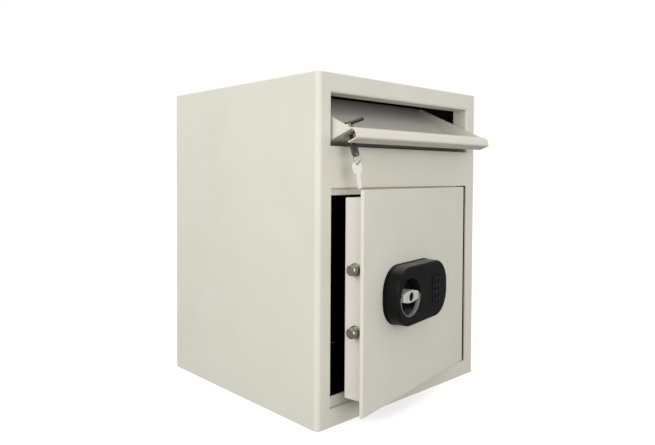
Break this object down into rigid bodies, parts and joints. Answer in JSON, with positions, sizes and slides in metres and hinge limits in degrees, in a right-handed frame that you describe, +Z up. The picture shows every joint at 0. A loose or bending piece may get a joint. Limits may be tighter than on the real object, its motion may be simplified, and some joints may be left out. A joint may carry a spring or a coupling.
{
  "type": "book drop box",
  "caption": "Steel deposit cabinet with a tipping drop flap above a keypad-locked door.",
  "frame": {"origin": "centre of the cabinet's footprint, on the underside of the base plate", "axes": "+X to the right along the front, +Y from the front to the back, +Z up"},
  "size_m": [0.4, 0.4734, 0.52],
  "materials": {
    "powder_coat": "fine textured powder coat",
    "zinc_steel": "zinc plated",
    "bright_steel": "nickel plated",
    "brass_bush": "turned",
    "white_pad": "soft",
    "black_plastic": "moulded",
    "silver_trim": "satin",
    "green_board": "solder mask",
    "cell_wrap": "printed sleeve without text",
    "coil_wrap": "taped coil",
    "lamp_lens": "clear tinted"
  },
  "bodies": {
    "cabinet": {"cabinet_shell": "powder_coat", "top_plate": "powder_coat", "base_plate": "powder_coat", "back_plate": "powder_coat", "hopper_frame": "powder_coat", "flap_pivot_bushes": "brass_bush", "door_frame": "powder_coat", "door_bumpers": "white_pad", "baffle_plate": "powder_coat", "hinge_brackets": "powder_coat"},
    "flap": {"flap_front_plate": "powder_coat", "hopper_tray": "powder_coat", "flap_pivot_pins": "zinc_steel", "cam_lock_body": "bright_steel", "cam_lock_nut": "zinc_steel"},
    "plug": {"lock_plug": "bright_steel", "lock_cam": "zinc_steel", "cam_screw": "zinc_steel", "lock_key": "bright_steel"},
    "ring": {"key_ring": "bright_steel"},
    "hanging_key": {"spare_key": "bright_steel"},
    "door": {"door_panel": "powder_coat", "hinge_knuckles": "powder_coat", "door_hinge_pins": "zinc_steel", "lock_case": "powder_coat", "case_posts": "zinc_steel", "case_screws": "zinc_steel", "bolt_bushings": "bright_steel", "battery_holder": "black_plastic", "battery_cells": "cell_wrap", "battery_lid": "black_plastic", "circuit_board": "green_board", "solenoid_body": "coil_wrap", "guide_studs": "zinc_steel", "pod_base": "black_plastic", "pod_housing": "black_plastic", "dial_ring": "silver_trim", "keypad_plate": "black_plastic", "status_lamps": "lamp_lens"},
    "bolt_carriage": {"locking_bolts": "bright_steel", "carriage_plate": "zinc_steel", "carriage_screws": "zinc_steel"},
    "knob": {"knob_cup": "black_plastic", "grip_bar": "silver_trim", "override_cylinder": "black_plastic", "knob_spindle": "zinc_steel", "drive_crank": "zinc_steel"},
    "plunger": {"solenoid_plunger": "zinc_steel"},
    "button_1": {"key_1": "black_plastic"},
    "button_2": {"key_2": "black_plastic"},
    "button_3": {"key_3": "black_plastic"},
    "button_4": {"key_4": "black_plastic"},
    "button_5": {"key_5": "black_plastic"},
    "button_6": {"key_6": "black_plastic"},
    "button_7": {"key_7": "black_plastic"},
    "button_8": {"key_8": "black_plastic"},
    "button_9": {"key_9": "black_plastic"},
    "button_clear": {"key_clear": "black_plastic"},
    "button_0": {"key_0": "black_plastic"},
    "button_enter": {"key_enter": "black_plastic"}
  },
  "joints": [
    {"name": "flap_hinge", "type": "hinge", "parent": "cabinet", "child": "flap", "pos_m": [0, -0.1841, 0.4335], "axis": [1, 0, 0], "range_deg": [-70.4, 0]},
    {"name": "cam_lock_turn", "type": "hinge", "parent": "flap", "child": "plug", "pos_m": [-0.1545, -0.21971, 0.43037], "axis": [0, -0.3355, -0.9421], "range_deg": [-13, 77]},
    {"name": "key_ring_swing", "type": "hinge", "parent": "plug", "child": "ring", "pos_m": [-0.152, -0.23015, 0.40107], "axis": [1, 0, 0], "range_deg": [-45, 18]},
    {"name": "spare_key_swing", "type": "hinge", "parent": "ring", "child": "hanging_key", "pos_m": [-0.152, -0.23015, 0.38707], "axis": [0, 1, 0], "range_deg": [-60, 60]},
    {"name": "door_hinge", "type": "hinge", "parent": "cabinet", "child": "door", "pos_m": [0.1595, -0.1905, 0.19], "axis": [0, 0, 1], "range_deg": [-10, 88]},
    {"name": "bolt_throw", "type": "slide", "parent": "door", "child": "bolt_carriage", "axis": [-0.9848, -0.1736, 0], "range_m": [0, 0.0198]},
    {"name": "knob_turn", "type": "hinge", "parent": "door", "child": "knob", "pos_m": [-0.0737, -0.26158, 0.19], "axis": [0.1736, -0.9848, 0], "range_deg": [0, 90]},
    {"name": "plunger_slide", "type": "slide", "parent": "door", "child": "plunger", "axis": [0, 0, 1], "range_m": [0, 0.006]},
    {"name": "button_1_press", "type": "slide", "parent": "door", "child": "button_1", "axis": [-0.1736, 0.9848, 0], "range_m": [0, 0.001], "stiffness_N_per_m": 200},
    {"name": "button_2_press", "type": "slide", "parent": "door", "child": "button_2", "axis": [-0.1736, 0.9848, 0], "range_m": [0, 0.001], "stiffness_N_per_m": 200},
    {"name": "button_3_press", "type": "slide", "parent": "door", "child": "button_3", "axis": [-0.1736, 0.9848, 0], "range_m": [0, 0.001], "stiffness_N_per_m": 200},
    {"name": "button_4_press", "type": "slide", "parent": "door", "child": "button_4", "axis": [-0.1736, 0.9848, 0], "range_m": [0, 0.001], "stiffness_N_per_m": 200},
    {"name": "button_5_press", "type": "slide", "parent": "door", "child": "button_5", "axis": [-0.1736, 0.9848, 0], "range_m": [0, 0.001], "stiffness_N_per_m": 200},
    {"name": "button_6_press", "type": "slide", "parent": "door", "child": "button_6", "axis": [-0.1736, 0.9848, 0], "range_m": [0, 0.001], "stiffness_N_per_m": 200},
    {"name": "button_7_press", "type": "slide", "parent": "door", "child": "button_7", "axis": [-0.1736, 0.9848, 0], "range_m": [0, 0.001], "stiffness_N_per_m": 200},
    {"name": "button_8_press", "type": "slide", "parent": "door", "child": "button_8", "axis": [-0.1736, 0.9848, 0], "range_m": [0, 0.001], "stiffness_N_per_m": 200},
    {"name": "button_9_press", "type": "slide", "parent": "door", "child": "button_9", "axis": [-0.1736, 0.9848, 0], "range_m": [0, 0.001], "stiffness_N_per_m": 200},
    {"name": "button_clear_press", "type": "slide", "parent": "door", "child": "button_clear", "axis": [-0.1736, 0.9848, 0], "range_m": [0, 0.001], "stiffness_N_per_m": 200},
    {"name": "button_0_press", "type": "slide", "parent": "door", "child": "button_0", "axis": [-0.1736, 0.9848, 0], "range_m": [0, 0.001], "stiffness_N_per_m": 200},
    {"name": "button_enter_press", "type": "slide", "parent": "door", "child": "button_enter", "axis": [-0.1736, 0.9848, 0], "range_m": [0, 0.001], "stiffness_N_per_m": 200}
  ],
  "couplings": [
    {"joint": "knob_turn", "follows": "bolt_throw", "rad_per_m": 79.3}
  ]
}
